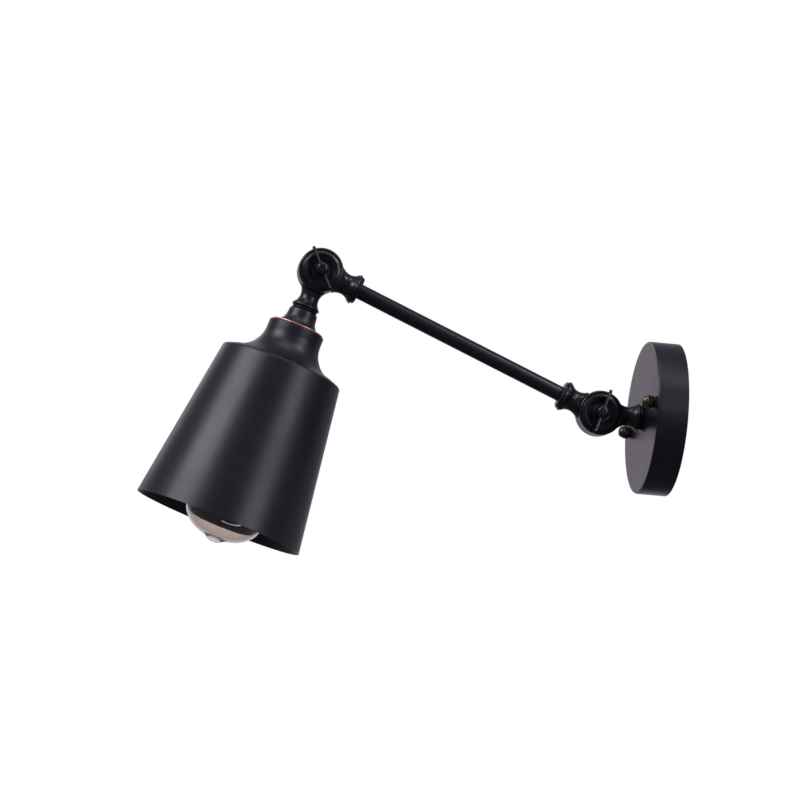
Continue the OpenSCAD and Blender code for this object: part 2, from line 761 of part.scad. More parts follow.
module support_ring(z, turns) {
    translate([0, 0, z - support_hub_t / 2]) washer(support_hub_r, rod_r + hub_play, support_hub_t);
    for (turn = turns) rotate(turn) translate([0, 0, z])
        wire([support_hub_r - support_foot, 0, 0], [cage_r_at(z) + support_reach, 0, 0], wire_r);
}

module filament_supports() {
    pin = 360 / hairpin_count;
    top_turns = concat([0, 360 - pin / 2], [for (i = [0 : hairpin_count - 2]) (i + 0.75) * pin]);
    low_turns = [for (i = [0 : hairpin_count - 1]) (i + 0.25) * pin];
    color(zinc) on_head() {
        support_ring(cage_top + hook_gap, top_turns);
        support_ring(cage_low - hook_gap, low_turns);
    }
}

// Route of the filament: hairpins round the cage, with a small bend round each support
half_pins = 2 * hairpin_count - 1;
route_end = cage_top + 2 * hook_gap;
function bend_point(k, t) =
    let(low = k % 2 == 0,
        z = (low ? cage_low - hook_r : cage_top + hook_r) + (low ? 1 : -1) * hook_r * sin(180 * t),
        step = 180 / hairpin_count,
        swing = 360 * hook_r / (2 * PI * cage_r_at(z)))
    cage_point((k + 0.5) * step - swing * cos(180 * t), z);
filament_route = concat(
    [cage_point(0, route_end)],
    [for (k = [0 : half_pins - 1]) each [for (t = [0 : 0.25 : 1]) bend_point(k, t)]],
    [cage_point(360 - 180 / hairpin_count, route_end)]
);

// A tube of a few flat sides along a route that runs round the Z axis
module swept_wire(route, radius, sides = 6) {
    last = len(route) - 1;
    function heading(i) = route[min(i + 1, last)] - route[max(i - 1, 0)];
    function unit(v) = v / norm(v);
    rings = [for (i = [0 : last])
        let(t = unit(heading(i)), out = [route[i][0], route[i][1], 0])
        let(b = unit(cross(t, out)), n = cross(b, t))
        for (s = [0 : sides - 1]) route[i] + radius * (n * cos(360 * s / sides) + b * sin(360 * s / sides))];
    sides_faces = [for (i = [0 : last - 1], s = [0 : sides - 1])
        let(a = i * sides + s, c = i * sides + (s + 1) % sides)
        each [[a, c, a + sides], [c, c + sides, a + sides]]];
    first_cap = [for (s = [1 : sides - 2]) [0, s + 1, s]];
    top = last * sides;
    end_cap = [for (s = [1 : sides - 2]) [top, top + s, top + s + 1]];
    polyhedron(rings, concat(sides_faces, first_cap, end_cap));
}

module filament() {
    color("#7a5a3a") on_head() swept_wire(filament_route, filament_r);
}

canopy();
mounting_bar();
canopy_studs();
stud_locknuts();
ground_screw();
wall_nipple();
wall_nipple_washer();
wall_nipple_nut();
thumb_nut_upper();
thumb_nut_lower();
wall_fitting();
base_wing_washer();
base_wing_screw();
base_friction_ring();
base_spring_washer();
base_pivot_nut();
arm_rear_fitting();
arm_tube();
arm_front_fitting();
head_wing_washer();
head_wing_screw();
head_friction_ring();
head_spring_washer();
head_pivot_nut();
head_fitting();
flared_cap();
trim_ring();
shade();
head_nipple();
shade_washer();
shade_nut();
socket_cap();
socket_body();
socket_shell();
socket_contact();
bulb_base();
bulb_insulator();
bulb_contact();
bulb_glass();
bulb_mount();
filament_supports();
filament();
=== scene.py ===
import json
import math
from functools import partial

import bmesh
import bpy
from mathutils import Matrix, Vector

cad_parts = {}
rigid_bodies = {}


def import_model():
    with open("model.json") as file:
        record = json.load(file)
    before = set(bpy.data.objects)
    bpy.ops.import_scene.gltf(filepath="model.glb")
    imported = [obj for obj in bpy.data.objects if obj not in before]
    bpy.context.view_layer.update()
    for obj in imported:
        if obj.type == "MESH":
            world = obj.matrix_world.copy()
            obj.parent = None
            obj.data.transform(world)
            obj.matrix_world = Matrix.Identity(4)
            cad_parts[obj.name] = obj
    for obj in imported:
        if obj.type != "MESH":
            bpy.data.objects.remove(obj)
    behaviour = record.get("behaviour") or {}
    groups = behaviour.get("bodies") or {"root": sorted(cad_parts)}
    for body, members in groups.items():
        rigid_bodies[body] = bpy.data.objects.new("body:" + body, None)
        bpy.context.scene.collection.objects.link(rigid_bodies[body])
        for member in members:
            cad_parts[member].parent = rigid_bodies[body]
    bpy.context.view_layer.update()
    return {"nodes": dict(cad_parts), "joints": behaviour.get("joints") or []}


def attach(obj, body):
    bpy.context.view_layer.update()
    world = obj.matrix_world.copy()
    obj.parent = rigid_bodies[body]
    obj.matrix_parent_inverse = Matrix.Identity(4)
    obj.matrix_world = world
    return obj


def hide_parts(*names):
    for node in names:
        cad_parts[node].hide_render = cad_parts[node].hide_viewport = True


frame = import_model()
nodes = frame["nodes"]
joints = {j["name"]: j for j in frame["joints"]}
mm = 0.001
weld = 1e-6     # points nearer to each other than this, in metres, are one
print("frame loaded:", len(nodes), "nodes")

# Lines that the turned pieces stand on, each a point and a direction
basePivot, headPivot = (Vector(joints[name]["pos_m"]) for name in ("base_hinge", "head_hinge"))
headLine = (headPivot, Vector(joints["bulb_turn"]["axis"]).normalized())   # towards the mouth
wallLine = (Vector((0, 0, 0)), Vector((0, -1, 0)))                         # out of the wall
nutLines = {side: (Vector(joints[side + "_nut_turn"]["pos_m"]), wallLine[1]) for side in ("upper", "lower")}


def reach(nodeName, line):
    # where a CAD node starts and ends along a line, and how far out from it the node goes, in millimetres
    point, direction = line
    offsets = [v.co - point for v in nodes[nodeName].data.vertices]
    along = [o.dot(direction) for o in offsets]
    out = max((o - a * direction).length for o, a in zip(offsets, along))
    return min(along) / mm, max(along) / mm, out / mm


def turnTo(x, y, z):
    # matrix that takes the three axes to the given directions
    return Matrix((x, y, z)).transposed().to_4x4()


def standOn(line):
    # matrix that takes +Z to the line's direction and the origin to its point; X stays level
    point, direction = line
    side = Vector((0, 0, -direction.x)) if abs(direction.x) > 0.9 else Vector((1, 0, 0))
    across = (side - side.dot(direction) * direction).normalized()
    return Matrix.Translation(point) @ turnTo(across, direction.cross(across), direction)


def directionTo(azimuth, elevation):
    # azimuth 0 looks at the wall from the front, 90 from the lamp's +X side
    az, el = math.radians(azimuth), math.radians(elevation)
    return Vector((math.sin(az) * math.cos(el), -math.cos(az) * math.cos(el), math.sin(el)))


def addObject(name, data):
    thing = bpy.data.objects.new(name, data)
    bpy.context.scene.collection.objects.link(thing)
    return thing


# Camera, where the photograph was taken from
shot = {
    "azimuth": 83.06,
    "elevation": -6.018,
    "roll": 4.467,
    "place": (2.004521, -0.448912, -0.21614),
    "lens": 123.53,
    "sensor": 36,
    "clip": (0.05, 200),
}


def makeCamera():
    back = directionTo(shot["azimuth"], shot["elevation"])
    roll = math.radians(shot["roll"])
    level = (-back).cross(Vector((0, 0, 1))).normalized()
    upright = level.cross(-back)
    right = math.cos(roll) * level + math.sin(roll) * upright
    up = math.cos(roll) * upright - math.sin(roll) * level
    data = bpy.data.cameras.new("photoCamera")
    data.lens = shot["lens"]
    data.sensor_width = shot["sensor"]
    data.clip_start, data.clip_end = shot["clip"]
    camera = addObject("photoCamera", data)
    camera.matrix_world = Matrix.Translation(Vector(shot["place"])) @ turnTo(right, up, back)
    bpy.context.scene.camera = camera


makeCamera()
print("camera set")


# Small helpers for node trees

def socketNamed(sockets, name):
    return next(s for s in sockets if s.name == name and s.enabled)


def feed(tree, target, value):
    # value is an output socket, or a number, a vector or a colour that the input keeps
    if isinstance(value, bpy.types.NodeSocket):
        tree.links.new(value, target)
    else:
        target.default_value = (*value, 1) if target.type == "RGBA" else value


def feedAll(tree, targets, **values):
    for name, value in values.items():
        feed(tree, targets[name.replace("_", " ")], value)


def addNode(tree, kind, **settings):
    # settings whose name is a property are set on the node, the others are fed to its inputs
    node = tree.nodes.new(kind)
    for name, value in settings.items():
        if name in node.bl_rna.properties:
            setattr(node, name, value)
    for name, value in settings.items():
        if name not in node.bl_rna.properties:
            feed(tree, socketNamed(node.inputs, name.replace("_", " ")), value)
    return node


def combine(tree, kind, operation, *values):
    # a maths node: each value is a number or an output socket
    node = addNode(tree, kind, operation=operation)
    for target, value in zip(node.inputs, values):
        feed(tree, target, value)
    return node.outputs


def doMath(tree, operation, *values):
    return combine(tree, "ShaderNodeMath", operation, *values)[0]


def arithmetic(tree):
    return [partial(doMath, tree, operation) for operation in ("ADD", "SUBTRACT", "MULTIPLY", "DIVIDE")]


def smoothRange(tree, **settings):
    return addNode(tree, "ShaderNodeMapRange", interpolation_type="SMOOTHSTEP", **settings).outputs[0]


def openGroup(name, kind, inputs, outputs):
    # inputs and outputs give each socket's default number, or the kind of a socket that has none
    tree = bpy.data.node_groups.new(name, kind)
    for way, rows in (("INPUT", inputs), ("OUTPUT", outputs)):
        for label, value in rows.items():
            socketKind = {int: "Int", float: "Float"}.get(type(value), value)
            socket = tree.interface.new_socket(label, in_out=way, socket_type="NodeSocket" + socketKind)
            if socketKind != value:
                socket.default_value = value
    return tree, tree.nodes.new("NodeGroupInput").outputs, tree.nodes.new("NodeGroupOutput").inputs


# Shader groups that several finishes share
groupLooks = {
    "speckScale": 3.1,      # how much finer the specks are than the fine grain
    "fineShare": 0.45,      # of the fine grain in the unevenness of the roughness
    "speckShare": 0.35,
    "noiseRange": (0.35, 0.65),
    "outwardPitch": 1.37,   # of the rings on a flat, against those on a side
}


def makeGrainGroup():
    # paint peel and cast grain: an uneven roughness, a slow change of tone and a fine height
    tree, given, out = openGroup(
        "surfaceGrain", "ShaderNodeTree",
        {"Vector": "Vector", "Fine Scale": 900.0, "Broad Scale": 25.0,
         "Roughness Low": 0.3, "Roughness High": 0.45},
        {"Roughness": "Float", "Tone": "Float", "Height": "Float"},
    )
    look = groupLooks
    plus, _, times, _ = arithmetic(tree)
    noise = partial(addNode, tree, "ShaderNodeTexNoise", Vector=given["Vector"])
    fine = noise(Detail=3.0, Roughness=0.55, Scale=given["Fine Scale"]).outputs[0]
    broad = noise(Detail=4.0, Roughness=0.6, Distortion=0.3, Scale=given["Broad Scale"]).outputs[0]
    speck = noise(Detail=2.0, Roughness=0.7, Scale=times(given["Fine Scale"], look["speckScale"])).outputs[0]
    uneven = plus(times(fine, look["fineShare"]), times(broad, 1 - look["fineShare"]))
    low, high = look["noiseRange"]
    rough = addNode(tree, "ShaderNodeMapRange", Value=uneven, From_Min=low, From_Max=high,
                    To_Min=given["Roughness Low"], To_Max=given["Roughness High"])
    height = plus(fine, times(speck, look["speckShare"]))
    feedAll(tree, out, Roughness=rough.outputs[0], Tone=broad, Height=height)
    return tree


def makeTurningGroup():
    # fine rings left by the lathe, round a line given by a point and a direction
    tree, given, out = openGroup(
        "turningMarks", "ShaderNodeTree",
        {"Vector": "Vector", "Point": "Vector", "Direction": "Vector", "Spacing": 0.0004},
        {"Height": "Float"},
    )
    plus, _, times, over = arithmetic(tree)
    vectors = partial(combine, tree, "ShaderNodeVectorMath")
    offset = vectors("SUBTRACT", given["Vector"], given["Point"])[0]
    along = vectors("DOT_PRODUCT", offset, given["Direction"])["Value"]
    outward = vectors("LENGTH", vectors("CROSS_PRODUCT", offset, given["Direction"])[0])["Value"]
    # a mark runs with the distance along the line and outwards together, so flats and sides both get rings
    both = plus(along, times(outward, groupLooks["outwardPitch"]))
    rings = addNode(tree, "ShaderNodeTexNoise", noise_dimensions="1D", Scale=1.0, Detail=3.0, Roughness=0.6,
                    W=over(both, given["Spacing"]))
    feedAll(tree, out, Height=rings.outputs[0])
    return tree


def makeAgeGroup():
    # a mask of stains and handling: 0 is clean, 1 is dull
    tree, given, out = openGroup(
        "ageing", "ShaderNodeTree",
        {"Vector": "Vector", "Scale": 120.0, "Amount": 0.5, "Softness": 0.2}, {"Mask": "Float"},
    )
    plus, minus, _, _ = arithmetic(tree)
    blotch = addNode(tree, "ShaderNodeTexNoise", Detail=6.0, Roughness=0.65, Distortion=0.6,
                     Vector=given["Vector"], Scale=given["Scale"])
    level = minus(1.0, given["Amount"])
    mask = smoothRange(tree, Value=blotch.outputs[0], From_Min=minus(level, given["Softness"]),
                       From_Max=plus(level, given["Softness"]))
    feedAll(tree, out, Mask=mask)
    return tree


grainGroup = makeGrainGroup()
turningGroup = makeTurningGroup()
ageGroup = makeAgeGroup()


def useGroup(tree, group, vector, **values):
    return addNode(tree, "ShaderNodeGroup", node_tree=group, Vector=vector, **values).outputs


def openMaterial(name):
    material = bpy.data.materials.new(name)
    material.use_nodes = True
    tree = material.node_tree
    return material, tree, tree.nodes["Principled BSDF"].inputs


def blendColours(tree, factor, first, second):
    node = addNode(tree, "ShaderNodeMix", data_type="RGBA", Factor=factor, A=first, B=second)
    return socketNamed(node.outputs, "Result")


# Finishes. A look has
#   colour, and drift: the colour it slowly changes to and back
#   stains: how fine, how much of the surface, how soft their edges are, and their colour
#   grain: fine and broad scale; roughness: lowest and highest; bump: strength and depth
#   turning: spacing of the lathe's rings round a line; ringsOnly: no grain in the bump
#    worn: bare metal on rubbed edges, partly a painted highlight line along them; ior: of glass; on: the CAD
#        nodes it goes on
blackPaint = {"colour": (0.0082, 0.0075, 0.0115), "drift": (0.0122, 0.0113, 0.0165), "grain": (1100, 22)}
castPaint = {"colour": (0.0062, 0.0057, 0.0090), "drift": (0.0115, 0.0106, 0.0158), "grain": (900, 22)}
metal = {"metallic": 1.0, "grain": (2400, 60), "bump": (0.15, 0.00003)}
moulded = {"grain": (1300, 45), "bump": (0.2, 0.00005)}
glass = {"grain": (60, 20), "roughness": (0, 0.03), "bump": (0.05, 0.0004), "ior": 1.46}
agedBrass = {
    **metal, "colour": (0.42, 0.33, 0.20), "grain": (1800, 180), "roughness": (0.26, 0.48),
    "stains": [(420, 0.56, 0.1, (0.13, 0.075, 0.045)), (260, 0.50, 0.08, (0.060, 0.070, 0.040))],
    "bump": (0.3, 0.00004), "turning": 0.00025,
}
finishLooks = {
    "satinBlackPaint": {
        **blackPaint, "roughness": (0.33, 0.41), "bump": (0.25, 0.00006), "on": ["shade", "flared_cap"]},
    "canopyBlackPaint": {
        **blackPaint, "roughness": (0.26, 0.33), "bump": (0.2, 0.00006), "on": ["canopy"]},
    "castBlackPaint": {
        **castPaint, "roughness": (0.23, 0.34), "bump": (0.3, 0.00008),
        "on": ["wall_fitting", "base_wing_screw", "arm_rear_fitting", "arm_tube", "arm_front_fitting",
               "head_wing_screw", "head_fitting"]},
    # the wings' worn colour is bare metal on rubbed edges, and also a painted highlight along those edges
    "wingBlackPaint": {
        **castPaint, "colour": (0.0070, 0.0064, 0.0100), "drift": (0.0118, 0.0109, 0.0160),
        "roughness": (0.22, 0.30), "bump": (0.1, 0.00004), "worn": (0.30, 0.29, 0.33), "on": []},
    "darkSteel": {
        **metal, "colour": (0.075, 0.072, 0.076), "stains": [(300, 0.5, 0.12, (0.035, 0.032, 0.034))],
        "roughness": (0.32, 0.5),
        "on": ["base_wing_washer", "base_spring_washer", "base_pivot_nut", "head_wing_washer",
               "head_spring_washer", "head_pivot_nut"]},
    "zincPlate": {
        **metal, "colour": (0.56, 0.57, 0.58), "stains": [(160, 0.45, 0.12, (0.36, 0.36, 0.37))],
        "roughness": (0.28, 0.46),
        "on": ["mounting_bar", "canopy_studs", "stud_locknuts", "wall_nipple", "wall_nipple_washer",
               "wall_nipple_nut", "head_nipple", "shade_washer", "shade_nut", "bulb_contact",
               "filament_supports"]},
    "brightBrass": {
        **metal, "colour": (0.80, 0.56, 0.25), "stains": [(150, 0.42, 0.12, (0.48, 0.33, 0.15))],
        "roughness": (0.2, 0.36), "on": ["socket_shell", "socket_contact", "bulb_base"]},
    "groundGreen": {
        **metal, "colour": (0.10, 0.36, 0.14), "stains": [(220, 0.4, 0.12, (0.05, 0.19, 0.08))],
        "roughness": (0.3, 0.45), "on": ["ground_screw"]},
    "filamentWire": {
        **metal, "colour": (0.36, 0.27, 0.20), "stains": [(500, 0.5, 0.12, (0.20, 0.15, 0.12))],
        "roughness": (0.35, 0.5), "on": ["filament"]},
    "agedBrassUpper": {**agedBrass, "line": nutLines["upper"], "on": ["thumb_nut_upper"]},
    "agedBrassLower": {**agedBrass, "line": nutLines["lower"], "on": ["thumb_nut_lower"]},
    "rubbedCopper": {
        **metal, "colour": (0.95, 0.50, 0.40), "stains": [(140, 0.4, 0.15, (0.70, 0.27, 0.19))],
        "grain": (1500, 90), "roughness": (0.34, 0.48), "bump": (0.2, 0.00002), "turning": 0.0002,
        "line": headLine, "ringsOnly": True, "on": ["trim_ring"]},
    "blackPhenolic": {
        **moulded, "colour": (0.010, 0.009, 0.009), "stains": [(700, 0.42, 0.06, (0.024, 0.021, 0.020))],
        "roughness": (0.3, 0.44), "on": ["socket_cap", "socket_body", "bulb_insulator"]},
    "brownFibre": {
        **moulded, "colour": (0.055, 0.026, 0.014), "stains": [(1500, 0.42, 0.06, (0.13, 0.068, 0.038))],
        "roughness": (0.6, 0.8), "on": ["base_friction_ring", "head_friction_ring"]},
    "amberGlass": {
        **glass, "colour": (0.70, 0.635, 0.605), "stains": [(38, 0.5, 0.3, (0.62, 0.545, 0.51))],
        "on": ["bulb_glass"]},
    "clearGlass": {
        **glass, "colour": (0.98, 0.99, 0.985), "stains": [(38, 0.5, 0.3, (0.93, 0.95, 0.94))],
        "on": ["bulb_mount"]},
}
# breaks up the rubbed edges, and with them the painted highlight line, into patches
rubbingAndHighlight = {"Scale": 70.0, "Amount": 0.72, "Softness": 0.3}


def makeFinish(name, look):
    material, tree, inputs = openMaterial(name)
    place = tree.nodes.new("ShaderNodeTexCoord").outputs["Object"]
    (fine, broad), (smoothest, roughest) = look["grain"], look["roughness"]
    grain = useGroup(tree, grainGroup, place, Fine_Scale=fine, Broad_Scale=broad,
                     Roughness_Low=smoothest, Roughness_High=roughest)
    colour, height, metallic = look["colour"], grain["Height"], look.get("metallic", 0.0)
    if "drift" in look:
        colour = blendColours(tree, grain["Tone"], colour, look["drift"])
    for scale, amount, softness, stain in look.get("stains", []):
        mask = useGroup(tree, ageGroup, place, Scale=scale, Amount=amount, Softness=softness)["Mask"]
        colour = blendColours(tree, mask, colour, stain)
    if "worn" in look:
        # bare metal where fingers have rubbed the edges, which is also a painted highlight line along them;
        # the mesh says where
        edges = addNode(tree, "ShaderNodeAttribute", attribute_name="edgeWearAndHighlight").outputs["Fac"]
        metallic = doMath(tree, "MULTIPLY", edges, useGroup(tree, ageGroup, place, **rubbingAndHighlight)["Mask"])
        colour = blendColours(tree, metallic, colour, look["worn"])
    if "turning" in look:
        point, direction = look["line"]
        rings = useGroup(tree, turningGroup, place, Point=point, Direction=direction, Spacing=look["turning"])
        height = rings["Height"] if "ringsOnly" in look else doMath(tree, "ADD", height, rings["Height"])
    if "ior" in look:
        feedAll(tree, inputs, Transmission_Weight=1.0, IOR=look["ior"])
    strength, depth = look["bump"]
    bump = addNode(tree, "ShaderNodeBump", Strength=strength, Distance=depth, Height=height)
    feedAll(tree, inputs, Base_Color=colour, Roughness=grain["Roughness"], Metallic=metallic,
            Normal=bump.outputs[0])
    for nodeName in look["on"]:
        nodes[nodeName].data.materials.clear()
        nodes[nodeName].data.materials.append(material)
    return material


materials = {name: makeFinish(name, look) for name, look in finishLooks.items()}
print("finishes made:", len(bpy.data.materials))


# Geometry Nodes: one tree turns a profile, and cuts a thread or a knurl where its points are marked
knurlSlope = 0.62     # how much of a tooth slopes up to its flat top


def makeLatheTree():
    tree, given, out = openGroup(
        "turnProfile", "GeometryNodeTree",
        {"Geometry": "Geometry", "Segments": 96, "Thread Depth": 0.0, "Thread Pitch": 0.001,
         "Knurl Depth": 0.0, "Knurl Count": 24, "Knurl Slant": 0.0, "Material": "Material"},
        {"Geometry": "Geometry"},
    )
    plus, minus, times, over = arithmetic(tree)
    profile = given["Geometry"]
    size = addNode(tree, "GeometryNodeAttributeDomainSize", component="MESH", Geometry=profile)
    columns = plus(given["Segments"], 1)
    grid = addNode(tree, "GeometryNodeMeshGrid", Vertices_X=size.outputs["Point Count"], Vertices_Y=columns)
    index = tree.nodes.new("GeometryNodeInputIndex").outputs[0]
    row = doMath(tree, "FLOOR", over(index, columns))
    turn = over(minus(index, times(row, columns)), given["Segments"])

    def sampled(kind, value):
        node = addNode(tree, "GeometryNodeSampleIndex", data_type=kind, domain="POINT", Geometry=profile,
                       Value=value, Index=row)
        return socketNamed(node.outputs, "Value")

    def depthOf(mark):
        # how deep the thread or the knurl is cut at this point of the profile
        weight = addNode(tree, "GeometryNodeInputNamedAttribute", data_type="FLOAT", Name=mark)
        weight = sampled("FLOAT", socketNamed(weight.outputs, "Attribute"))
        return times(weight, given[mark.capitalize() + " Depth"])

    def wave(phase):
        # 0 at the bottom of a groove, 1 half way to the next
        return times(doMath(tree, "PINGPONG", phase, 0.5), 2)

    position = sampled("FLOAT_VECTOR", tree.nodes.new("GeometryNodeInputPosition").outputs[0])
    place = addNode(tree, "ShaderNodeSeparateXYZ", Vector=position).outputs
    height = place["Z"]
    phase = minus(over(height, given["Thread Pitch"]), turn)
    cut = times(smoothRange(tree, Value=wave(phase)), depthOf("thread"))
    teeth = times(turn, given["Knurl Count"])
    slant = times(height, given["Knurl Slant"])
    nearest = doMath(tree, "MINIMUM", wave(plus(teeth, slant)), wave(minus(teeth, slant)))
    groove = smoothRange(tree, From_Max=knurlSlope, To_Min=1.0, To_Max=0.0, Value=nearest)
    radius = minus(minus(place["X"], cut), times(groove, depthOf("knurl")))
    angle = times(turn, 2 * math.pi)
    moved = addNode(tree, "ShaderNodeCombineXYZ", X=times(radius, doMath(tree, "COSINE", angle)),
                    Y=times(radius, doMath(tree, "SINE", angle)), Z=height)
    placed = addNode(tree, "GeometryNodeSetPosition", Geometry=grid.outputs[0], Position=moved.outputs[0])
    merged = addNode(tree, "GeometryNodeMergeByDistance", Distance=weld, Geometry=placed.outputs[0])
    return finishTree(tree, merged.outputs[0], given, out)


def makeWireTree():
    # sweeps a round wire along every run of edges
    tree, given, out = openGroup(
        "sweepWire", "GeometryNodeTree",
        {"Geometry": "Geometry", "Radius": 0.0003, "Sides": 10, "Material": "Material"},
        {"Geometry": "Geometry"},
    )
    path = addNode(tree, "GeometryNodeMeshToCurve", Mesh=given["Geometry"])
    ring = addNode(tree, "GeometryNodeCurvePrimitiveCircle", mode="RADIUS", Resolution=given["Sides"],
                   Radius=given["Radius"])
    swept = addNode(tree, "GeometryNodeCurveToMesh", Fill_Caps=True, Curve=path.outputs[0],
                    Profile_Curve=ring.outputs[0])
    return finishTree(tree, swept.outputs[0], given, out)


def finishTree(tree, geometry, given, out):
    smooth = addNode(tree, "GeometryNodeSetShadeSmooth", Geometry=geometry)
    real = addNode(tree, "GeometryNodeRealizeInstances", Geometry=smooth.outputs[0])
    dressed = addNode(tree, "GeometryNodeSetMaterial", Geometry=real.outputs[0], Material=given["Material"])
    feedAll(tree, out, Geometry=dressed.outputs[0])
    return tree


latheTree = makeLatheTree()
wireTree = makeWireTree()


def evaluated(source):
    # the object's mesh with its modifiers applied; the object and its modifiers are removed
    bpy.context.view_layer.update()
    graph = bpy.context.evaluated_depsgraph_get()
    mesh = bpy.data.meshes.new_from_object(source.evaluated_get(graph))
    source.modifiers.clear()
    bpy.data.objects.remove(source)
    return mesh


def runTree(tree, mesh, values):
    source = addObject("maker", mesh)
    modifier = source.modifiers.new("maker", "NODES")
    modifier.node_group = tree
    for item in tree.interface.items_tree:
        if item.in_out == "INPUT" and item.name in values:
            modifier[item.identifier] = values[item.name]
    return evaluated(source)


def closeShell(mesh, sharpAbove=38):
    # welds the mesh, points its faces outwards and keeps its true corners crisp
    work = bmesh.new()
    work.from_mesh(mesh)
    bmesh.ops.remove_doubles(work, verts=work.verts, dist=weld)
    bmesh.ops.delete(work, geom=[e for e in work.edges if not e.link_faces], context="EDGES")
    bmesh.ops.recalc_face_normals(work, faces=work.faces)
    work.to_mesh(mesh)
    work.free()
    mesh.shade_smooth()
    mesh.set_sharp_from_angle(angle=math.radians(sharpAbove))


def addPiece(name, mesh, body, replaced):
    piece = addObject(name, mesh)
    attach(piece, body)
    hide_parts(*replaced)


def turned(points, line, finish, look):
    # points are (radius, height along the line, mark) in millimetres, and a mark is "thread" or "knurl";
    # look may have segments, a thread's depth and pitch, and a knurl's depth, count and slant
    threadDepth, pitch = look.get("thread", (0, 1))
    knurlDepth, count, slant = look.get("knurl", (0, 24, 0))
    mesh = bpy.data.meshes.new("profile")
    mesh.from_pydata([(p[0] * mm, 0, p[1] * mm) for p in points], [], [])
    for mark in ("thread", "knurl"):
        weights = mesh.attributes.new(mark, "FLOAT", "POINT")
        weights.data.foreach_set("value", [1.0 if mark in p[2:] else 0.0 for p in points])
    result = runTree(latheTree, mesh, {
        "Segments": look.get("segments", 96), "Thread Depth": threadDepth * mm, "Thread Pitch": pitch * mm,
        "Knurl Depth": knurlDepth * mm, "Knurl Count": count, "Knurl Slant": slant / mm,
        "Material": materials[finish]})
    result.transform(standOn(line))
    closeShell(result)
    return result


def wired(paths, line, radius, finish, sides=10):
    # paths are lists of points in millimetres, in the line's own space
    points, edges = [], []
    for path in paths:
        first = len(points)
        points += [tuple(c * mm for c in p) for p in path]
        edges += [(first + i, first + i + 1) for i in range(len(path) - 1)]
    mesh = bpy.data.meshes.new("path")
    mesh.from_pydata(points, edges, [])
    result = runTree(wireTree, mesh, {"Radius": radius * mm, "Sides": sides, "Material": materials[finish]})
    result.transform(standOn(line))
    closeShell(result)
    return result


def joined(meshes):
    work = bmesh.new()
    for mesh in meshes:
        work.from_mesh(mesh)
    result = meshes[0].copy()
    work.to_mesh(result)
    work.free()
    return result


# Profiles, in millimetres

def arc(centre, radius, start, end, steps=8):
    turns = [math.radians(start + (end - start) * i / steps) for i in range(steps + 1)]
    return [(centre[0] + radius * math.cos(t), centre[1] + radius * math.sin(t)) for t in turns]


def softened(corners, steps=4, mostOfEdge=0.49):
    # corners are (radius, height, rounding); a rounding is how far before and after the corner the curve runs
    points = []
    for i, corner in enumerate(corners):
        rounding = corner[2] if len(corner) > 2 else 0
        if not rounding or i in (0, len(corners) - 1):
            points.append(corner[:2])
            continue
        here = Vector(corner[:2])
        before = Vector(corners[i - 1][:2]) - here
        after = Vector(corners[i + 1][:2]) - here
        start = here + before.normalized() * min(rounding, before.length * mostOfEdge)
        end = here + after.normalized() * min(rounding, after.length * mostOfEdge)
        for k in range(steps + 1):
            t = k / steps
            points.append(tuple(start * (1 - t) ** 2 + here * 2 * t * (1 - t) + end * t * t))
    return points


def run(start, end, step, mark):
    # a straight run with marked points close enough together for a thread or a knurl
    count = max(1, math.ceil(math.dist(start, end) / step))
    return [(start[0] + (end[0] - start[0]) * i / count, start[1] + (end[1] - start[1]) * i / count, mark)
            for i in range(count + 1)]


# Shade, spun from one sheet
shadeShape = {
    "cupRadius": 21.25,
    "cupLength": 6.7,
    "flareRadius": 21.7,
    "flareEnd": 100,          # degrees at which the flare meets the shoulder
    "flareToDrum": 3.0,
    "drumTopRadius": 46.35,
    "wall": 0.9,
    "shoulderRounding": 1.5,
    "creaseRounding": 2.2,
    "creaseRise": 1.2,
    "creaseTurn": (-72, -9),
    "rim": [(0.1, 0.5), (0, 0.15), (0.2, 0)],     # in from the mouth's radius, back from its end
    "rimInside": [(-0.2, 0), (0, 0.2)],           # the same from the inner side
    "holeRadius": 5.2,
    "segments": 192,
}


def makeShade():
    look = shadeShape
    hole, wall = look["holeRadius"], look["wall"]
    cupStart, mouthEnd, mouthRadius = reach("shade", headLine)
    flareStart = cupStart + look["cupLength"]
    drumStart = flareStart + look["flareRadius"] + look["flareToDrum"]

    def side(inset):
        shoulder, crease, flare = look["shoulderRounding"], look["creaseRounding"], look["flareRadius"]
        creaseCentre = (look["drumTopRadius"] - crease, drumStart + crease - look["creaseRise"])
        return (
            arc((look["cupRadius"] - shoulder, cupStart + shoulder), shoulder - inset, -90, 0)
            + arc((look["cupRadius"] + flare, flareStart), flare + inset, 180, look["flareEnd"], steps=24)
            + arc(creaseCentre, crease - inset, *look["creaseTurn"], steps=10)
        )

    rim = [(mouthRadius - inwards, mouthEnd - back) for inwards, back in look["rim"]]
    rim += [(mouthRadius - wall - inwards, mouthEnd - back) for inwards, back in look["rimInside"]]
    points = [(hole, cupStart)] + side(0) + rim + side(wall)[::-1]
    points += [(hole, cupStart + wall), (hole, cupStart)]
    mesh = turned(points, headLine, "satinBlackPaint", look)
    addPiece("shadeSpun", mesh, "head", ["shade"])


# Flared cap over the shade's neck
capShape = {
    "topRadius": 10.7,
    "topRounding": 0.7,
    "waistRadius": 11.1,
    "waistAt": 3.3,
    "footRadius": 15.5,
    "footEdge": 0.5,
    "edgeRounding": 0.2,
    "hollowRadius": 10.5,
    "hollowDepth": 4,
    "hollowRounding": 0.5,
    "holeRadius": 5.2,
    "segments": 128,
}


